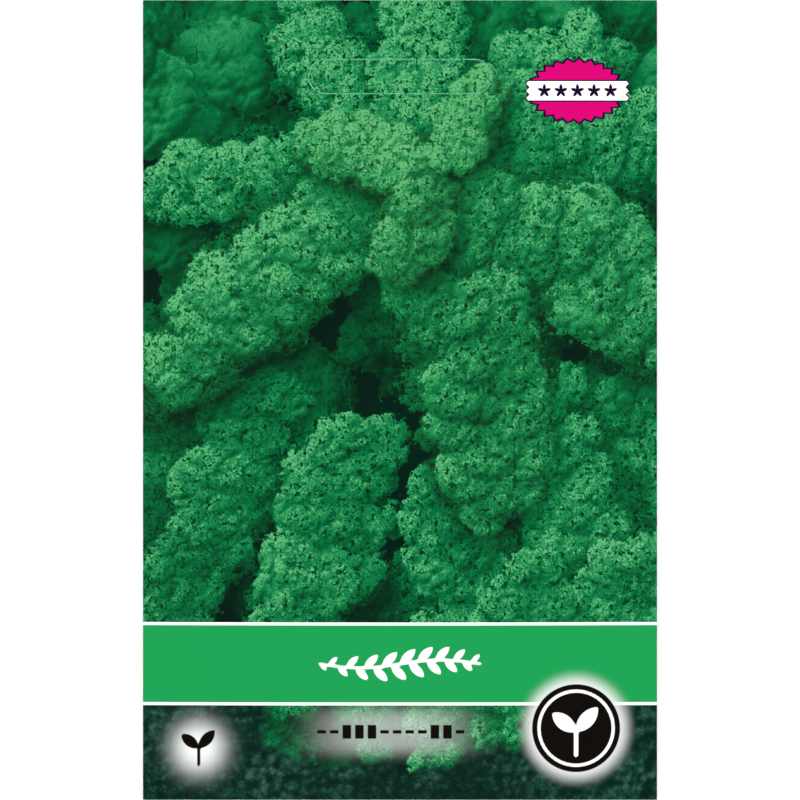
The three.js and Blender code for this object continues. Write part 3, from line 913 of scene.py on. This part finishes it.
# green and dark ink on the back, as signed distances, each the nearest of its boxes, dots, rings and strokes.
# A drop is a circle with a cone on it, whose sides touch the circle.
def backInk(x, y):
    calendar, rings, notes = back["calendar"], back["rings"], back["notes"]
    green = dark = np.full(x.shape, 9.0)
    for rowY, busy in zip(calendar["rows"], calendar["busy"]):
        for month in range(1, calendar["months"] + 1):
            place = (((calendar["months"] + 1) / 2 - month) * calendar["pitch"], rowY)
            if month in busy:
                green = np.minimum(green, boxDistance(x, y, place, calendar["cell"]))
            else:
                dark = np.minimum(dark, np.hypot(x - place[0], y - place[1]) - calendar["dot"])
    up = y - rings["y"]
    for ringX in rings["x"]:
        green = np.minimum(green, np.abs(np.hypot(x - ringX, up) - rings["radius"]) - rings["line"] / 2)
    left, middle, right = rings["x"]
    dark = np.minimum(dark, seedlingDistance(x, y, (right, rings["y"]), back["seedling"]))
    drop = back["drop"]
    lean = np.arcsin(drop["radius"] / (drop["tip"] - drop["low"]))
    cone = np.abs(x - middle) * np.cos(lean) - (drop["tip"] - up) * np.sin(lean)
    cone = np.maximum(cone, drop["low"] + drop["radius"] * np.sin(lean) - up)
    dark = np.minimum(dark, np.minimum(np.hypot(x - middle, up - drop["low"]) - drop["radius"], cone))
    sown = back["sown"]
    ground = ((left + side * sown["half"], rings["y"] + sown["up"]) for side in (-1, 1))
    dark = np.minimum(dark, strokeDistance(x, y, *ground, sown["line"]))
    for seedX in sown["seeds"]:
        dark = np.minimum(dark, np.hypot(x - left - seedX, up + sown["down"]) - sown["radius"])
    for line in range(notes["lines"]):
        lineY = notes["first"] - line * notes["pitch"]
        dark = np.minimum(dark, boxDistance(x, y, (0, lineY), (notes["half"], notes["line"])))
    return green, dark


# the back's inks as readings; points from a given one on belong to flaps, which are green all over
def addBackInk(piece, x, y, flapsFrom):
    onFlap = np.arange(len(x)) >= flapsFrom
    green, dark = backInk(x, y)
    addReading(piece, "inkGreen", np.where(onFlap, -1.0, green))
    addReading(piece, "inkDark", np.where(onFlap, 1.0, dark))


# the envelope: the front with its folds, hollow inside, as one piece, then the back sheet and the two
# flaps glued on, as another
def buildPacket():
    paper, level, bite = packet["paper"], packet["backLevel"], packet["glueBite"]
    finishes = [printedFront(), printedBack(), barePaper()]
    front, frontFaces, rimFaces = pouch(
        packetWidth, packetHeight, 0, level, packet["frontAtFold"], frontRise, *packet["cells"],
        packet["rimSteps"],
    )
    inside, *insideFaces = pouch(
        packetWidth - 2 * paper, packetHeight - 2 * paper, 0, level + paper / 3,
        packet["frontAtFold"] - paper, frontRise, *packet["insideCells"], 2,
    )
    insideFaces = [face[::-1] for group in insideFaces for face in group]
    shells = [(front, (0, frontFaces), (1, rimFaces)), (inside, (2, insideFaces))]
    envelope = buildPiece("packet_paper", shells, finishes)
    x, y = np.concatenate([front, inside])[:, :2].T
    for name, field in samples.items():
        addReading(envelope, name, readPicture(field, x, y))
    for name, values in zip(("inkWhite", "inkBlack", "glow"), frontInk(x, y)):
        addReading(envelope, name, values)
    addReading(envelope, "fromFold", np.minimum(halfWidth - np.abs(x), halfHeight - np.abs(y)))
    addBackInk(envelope, x, y, len(x))

    backEnd = halfHeight - packet["backShortOfFold"]
    backSheet, *backFaces = foldedSheet(
        packet["seamSetback"] - halfWidth, halfWidth, paper, level + bite, backEnd, backEnd,
        int(2 * backEnd / back["spacing"]), int(packetWidth / back["spacing"]),
        lambda along, across, up: np.stack([-along, across, up], -1),
    )
    shells = [(backSheet, (0, backFaces[0]), (1, backFaces[1]))]
    for flap, side in ((packet["topFlap"], 1), (packet["bottomFlap"], -1)):
        sheet, *faces = foldedSheet(
            halfHeight - flap["depth"], halfHeight, 0, paper + bite,
            halfWidth - flap["gapAtEdge"], halfWidth - flap["gapAtFold"], 30, 12,
            lambda along, across, up, side=side: np.stack([side * across, side * along, up], -1),
        )
        shells.append((sheet, (0, faces[0]), (1, faces[1])))
    panels = buildPiece("packet_back", shells, finishes[1:])
    x, y = np.concatenate([shell[0] for shell in shells])[:, :2].T
    addBackInk(panels, x, y, len(backSheet))
    for piece in (envelope, panels):
        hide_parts("packet_sheet")
        triangles = sum(len(face.vertices) - 2 for face in piece.data.polygons)
        print("packet folded:", piece.name, triangles, "triangles")


buildPacket()


# the hang slot's slits, as cut edges that stand a hair above the print
slits = {"count": 18, "nick": 0.4, "half": 0.11, "stands": 0.02, "sinks": 0.05, "steps": 8}


# a point of the slot's outline for each distance along it, and the way out from it: a half circle, then a
# straight, then both again turned by half a turn
def slotOutline(distance):
    radius = layout["slot"]["height"] / 2
    straight, arc = layout["slot"]["length"] - 2 * radius, np.pi * radius
    distance = distance % (2 * (arc + straight))
    side = np.where(distance < arc + straight, 1, -1)
    distance = distance % (arc + straight)
    angle = np.minimum(distance, arc) / radius - np.pi / 2
    x = straight / 2 + radius * np.cos(angle) - np.clip(distance - arc, 0, None)
    return side * x, side * radius * np.sin(angle), side * np.cos(angle), side * np.sin(angle)


# Cut paper: the torn white core of the sheet, stained by the ink beside it
def cutPaper():
    material, tree, shader, place = newMaterial("cut_printed_paper")
    fibres = addNode(tree, "TexNoise", place, sockets={"Scale": 1 / 1.4, "Detail": 3.0})
    colour = addNode(tree, "ValToRGB", fibres, stops=[(0.35, "3d9468"), (0.65, "62ac86")])
    setSockets(tree, shader, {"Base Color": colour, "Roughness": 0.8})
    return material


# each slit is a low bead: a six-sided outline carried along its stretch of the slot's outline
def buildSlits():
    radius = layout["slot"]["height"] / 2
    pitch = 2 * (layout["slot"]["length"] - 2 * radius + np.pi * radius) / slits["count"]
    half, top, low = slits["half"], slits["stands"], -slits["sinks"]
    outline = [(-half, low), (half, low), (half, 0), (half / 2, top), (-half / 2, top), (-half, 0)]
    outline = np.array(outline)
    shells = []
    for number in range(slits["count"]):
        distance = number * pitch + np.linspace(0, pitch - slits["nick"], slits["steps"])
        x, y, outX, outY = slotOutline(distance)
        y = y + layout["slot"]["middleY"]
        level = packet["frontAtFold"] + frontRise(x, y)
        points = np.stack([
            x[:, None] + outX[:, None] * outline[:, 0],
            y[:, None] + outY[:, None] * outline[:, 0],
            level[:, None] + outline[:, 1],
        ], -1).reshape(-1, 3)
        quads, ends = sweepFaces(slits["steps"], len(outline))
        shells.append((points, (0, quads.reshape(-1, 4).tolist() + ends)))
    return buildPiece("slot_perforation", shells, [cutPaper()])


buildSlits()
print("slot perforated:", slits["count"], "slits")

# the glassine bag: a flat edge, a shoulder up to the filled part, and a mouth turned over its front
bag = {
    "wall": 0.1,
    "edge": 0.4,
    "shoulder": 11.0,
    "clear": 0.25,  # air between it and the paper round it
    "lip": {"depth": 12.0, "fromSide": 1.0, "gap": 0.1, "flatBelow": 2.0, "tucked": 1.2},
    "crinkle": 0.12,
    "cells": (110, 150),
    "insideCells": (20, 26),
}
bagLow, bagHigh = (np.array(corner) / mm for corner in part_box("inner_bag"))
bagMiddle, bagSize = (bagLow + bagHigh) / 2, bagHigh - bagLow


# the bag's rise above its flat edge: an even slope from its edge and from under the lip, up to a little
# below the packet's front, less shallow crinkles
def bagRise(x, y):
    fromEdge = np.minimum(bagSize[0] / 2 - np.abs(x), y - bagLow[1])
    fromLip = bagHigh[1] - bag["lip"]["depth"] - bag["lip"]["flatBelow"] - y
    shoulder = easeBetween(np.minimum(fromEdge, fromLip), 0, bag["shoulder"])
    room = packet["frontAtFold"] - packet["paper"] - bag["clear"] - bagLow[2] - bag["edge"]
    folds = np.abs(blotches(x / 5 + y / 11, y / 7 - x / 9, 41)) + np.abs(blotches(x / 2.3, y / 2.6, 43)) / 2
    return shoulder * (room + frontRise(x, y) - bag["crinkle"] * folds)


# Glassine: thin, greaseproof, pressed so smooth that it shines a little and lets light through
def glassine():
    material, tree, shader, place = newMaterial("glassine")
    clouds = addNode(tree, "TexNoise", place, sockets={"Scale": 1 / 4.0, "Detail": 4.0})
    colour = addNode(tree, "ValToRGB", clouds, stops=[(0.3, "ded7bf"), (0.7, "efe9d8")])
    sheen = addNode(tree, "MapRange", clouds, 0.3, 0.7, 0.28, 0.40)
    bump = addNode(tree, "Bump", sockets={"Strength": 0.15, "Distance": 0.03 * mm, "Height": clouds})
    setSockets(tree, shader, {
        "Base Color": colour, "Roughness": sheen, "Normal": bump, "Transmission Weight": 0.25,
    })
    return material


# the mouth's lip: a strip that runs back along the front, round a half-circle fold and under the bag's end,
# drawn as an outline along the bag and up, and carried across it
def turnedLip(columns=24):
    lip, wall = bag["lip"], bag["wall"]
    outer = (bag["edge"] + lip["gap"] + wall) / 2
    inner = outer - wall
    middle = np.array([bagHigh[1] - outer, bagLow[2] + outer])
    turn = np.linspace(-np.pi / 2, np.pi / 2, 9)
    way = np.column_stack([np.cos(turn), np.sin(turn)])
    freeEnd, tuckedEnd = bagHigh[1] - lip["depth"], bagHigh[1] - lip["tucked"]
    outline = np.concatenate([
        [(tuckedEnd, bagLow[2])], middle + outer * way,
        [(freeEnd, middle[1] + outer), (freeEnd, middle[1] + inner)],
        middle + inner * way[::-1], [(tuckedEnd, bagLow[2] + wall)],
    ])
    across = np.linspace(-1, 1, columns)[:, None] * (bagSize[0] / 2 - lip["fromSide"]) + 0 * outline[:, 0]
    along, up = (np.broadcast_to(outline[:, axis], across.shape) for axis in (0, 1))
    quads, ends = sweepFaces(columns, len(outline))
    return np.stack([-across, along, up], -1).reshape(-1, 3), (0, quads.reshape(-1, 4).tolist() + ends)


# the bag: a pouch with a smaller one inside it that faces inward, so that a thin wall is left, and the lip
def buildBag():
    outside, *faces = pouch(
        bagSize[0], bagSize[1], bagMiddle[1], bagLow[2], bagLow[2] + bag["edge"], bagRise, *bag["cells"], 4
    )
    wall = bag["wall"]
    inside, *innerFaces = pouch(
        bagSize[0] - 2 * wall, bagSize[1] - 2 * wall, bagMiddle[1], bagLow[2] + wall,
        bagLow[2] + bag["edge"] - wall, bagRise, *bag["insideCells"], 2,
    )
    innerFaces = [face[::-1] for group in innerFaces for face in group]
    shells = [(outside, (0, faces[0] + faces[1])), (inside, (0, innerFaces)), turnedLip()]
    piece = buildPiece("glassine_bag", shells, [glassine()])
    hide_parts("inner_bag")


buildBag()
print("bag filled")

# loose seeds in one settled layer, in staggered rows with a small shake
seed = {
    "diameter": 1.8,
    "spread": (9.2, 6.4),  # half axes of the patch
    "middleY": -30.0,
    "spacing": 0.84,  # in diameters
    "shake": 0.05,  # in diameters
    "start": 20,
    "meridians": 9,
    "rings": 6,
}


# repeatable random numbers from 0 to 1: each state is the last one times a constant, plus another
def seedDraws():
    state = seed["start"]
    while True:
        state = (1664525 * state + 1013904223) % 4294967296
        yield state / 4294967296


# Seed coat: hard, dull and dark brown, with a fine net of ridges and some seeds redder than others
def seedCoat():
    material, tree, shader, place = newMaterial("dry_seed_coat")
    shade = addNode(tree, "TexNoise", place, sockets={"Scale": 1 / 2.2, "Detail": 2.0})
    colour = addNode(tree, "ValToRGB", shade, stops=[(0.3, "33211a"), (0.5, "4a3226"), (0.7, "6a4030")])
    ridges = addNode(tree, "TexVoronoi", place, sockets={"Scale": 1 / 0.14}, feature="DISTANCE_TO_EDGE")
    bump = {"Strength": 0.4, "Distance": 0.03 * mm, "Height": ridges}
    bump = addNode(tree, "Bump", sockets=bump, invert=True)
    setSockets(tree, shader, {"Base Color": colour, "Normal": bump, "Roughness": 0.6})
    return material


# balls in staggered rows within an oval patch. A ball is rings of points from pole to pole, each at the
# sine and cosine of its angle, with triangles at the poles.
def buildSeeds():
    draws = seedDraws()
    pitch = seed["spacing"] * seed["diameter"]
    rowPitch = pitch * np.sin(np.pi / 3)
    shake = seed["shake"] * seed["diameter"]
    columns, rows = (int(np.ceil(half / step)) for half, step in zip(seed["spread"], (pitch, rowPitch)))
    middles = []
    for row in range(-rows, rows + 1):
        for column in range(-columns, columns + 1):
            x, y = (column + (row % 2) / 2) * pitch, row * rowPitch
            if (x / seed["spread"][0]) ** 2 + (y / seed["spread"][1]) ** 2 <= 1:
                # of each seed's four draws the first two are its turns, which a ball doesn't show
                moveX, moveY = ((2 * value - 1) * shake for value in [next(draws) for part in range(4)][2:])
                middles.append((x + moveX, seed["middleY"] + y + moveY))
    middles = np.array(middles)
    level = bagLow[2] + bag["wall"] + bag["clear"] + seed["diameter"] / 2
    down = np.linspace(0, np.pi, seed["rings"] + 2)[1:-1, None]
    bearing = np.linspace(0, 2 * np.pi, seed["meridians"], endpoint=False)[None, :]
    ball = (np.sin(down) * np.cos(bearing), np.sin(down) * np.sin(bearing), np.cos(down) + 0 * bearing)
    ball = np.stack(ball, -1)
    ball = np.concatenate([ball.reshape(-1, 3), [(0, 0, 1), (0, 0, -1)]]) * seed["diameter"] / 2
    count, around = seed["rings"], np.arange(seed["meridians"])
    after = np.roll(around, -1)
    upper = (np.arange(count - 1) * seed["meridians"])[:, None]
    lower = upper + seed["meridians"]
    belts = np.stack([upper + around, lower + around, lower + after, upper + after], -1).reshape(-1, 4)
    last = (count - 1) * seed["meridians"]
    poles = [np.stack([0 * around + len(ball) - 2, around, after], -1),
             np.stack([0 * around + len(ball) - 1, last + after, last + around], -1)]
    faces = belts.tolist() + poles[0].tolist() + poles[1].tolist()
    shells = [(ball + (x, y, level), (0, faces)) for x, y in middles]
    piece = buildPiece("loose_seeds", shells, [seedCoat()])
    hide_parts("seeds")
    return len(middles)


print("seeds settled:", buildSeeds())


# the camera straight above the middle, far enough back to look flat, with the packet's height filling it
camera = {"lens": 300.0, "sensor": 36.0}
cameraData = bpy.data.cameras.new("overhead_camera")
cameraData.lens, cameraData.sensor_width = camera["lens"], camera["sensor"]
cameraPiece = bpy.data.objects.new("overhead_camera", cameraData)
away = packetHeight / 2 / (camera["sensor"] / 2 / camera["lens"])
cameraPiece.location = (0, 0, (away + packet["frontAtFold"]) * mm)
bpy.context.scene.collection.objects.link(cameraPiece)
bpy.context.scene.camera = cameraPiece
bpy.context.scene.view_settings.view_transform = "Standard"

# a pale floor and even soft light from all round
studio = {
    "floorHalf": 1500.0,
    "floorDrop": 0.02,
    "sky": 0.06,
    "boxPower": 20.7,
    "boxSize": 1.1,  # metres, as are its distance and height
    "boxAway": 1.5,
    "boxHeight": 1.2,
}


# Painted board: pale and matte, with faint roller marks
def paintedFloor():
    material, tree, shader, place = newMaterial("painted_board")
    marks = addNode(tree, "TexNoise", place, sockets={"Scale": 1 / 25, "Detail": 2.0})
    colour = addNode(tree, "ValToRGB", marks, stops=[(0.3, "fefefe"), (0.7, "ffffff")])
    setSockets(tree, shader, {"Base Color": colour, "Roughness": 0.9, "Specular IOR Level": 0.1})
    return material


half, drop = studio["floorHalf"] * mm, -studio["floorDrop"] * mm
floorMesh = bpy.data.meshes.new("floor")
corners = [(x * half, y * half, drop) for x, y in ((-1, -1), (1, -1), (1, 1), (-1, 1))]
floorMesh.from_pydata(corners, [], [(0, 1, 2, 3)])
floorMesh.materials.append(paintedFloor())
floor = bpy.data.objects.new("floor", floorMesh)
bpy.context.scene.collection.objects.link(floor)

for number in range(4):
    turn = np.radians(45 + 90 * number)
    lamp = bpy.data.lights.new(f"softbox_{number + 1}", "AREA")
    lamp.size, lamp.energy = studio["boxSize"], studio["boxPower"]
    lampPiece = bpy.data.objects.new(lamp.name, lamp)
    away, high = studio["boxAway"], studio["boxHeight"]
    lampPiece.location = (away * np.cos(turn), away * np.sin(turn), high)
    lampPiece.rotation_euler = (np.arctan2(away, high), 0, turn + np.pi / 2)
    bpy.context.scene.collection.objects.link(lampPiece)
sky = bpy.data.worlds.new("studio_sky")
sky.use_nodes = True
sky.node_tree.nodes["Background"].inputs["Color"].default_value = (1, 1, 1, 1)
sky.node_tree.nodes["Background"].inputs["Strength"].default_value = studio["sky"]
bpy.context.scene.world = sky

print("camera, light and floor set")
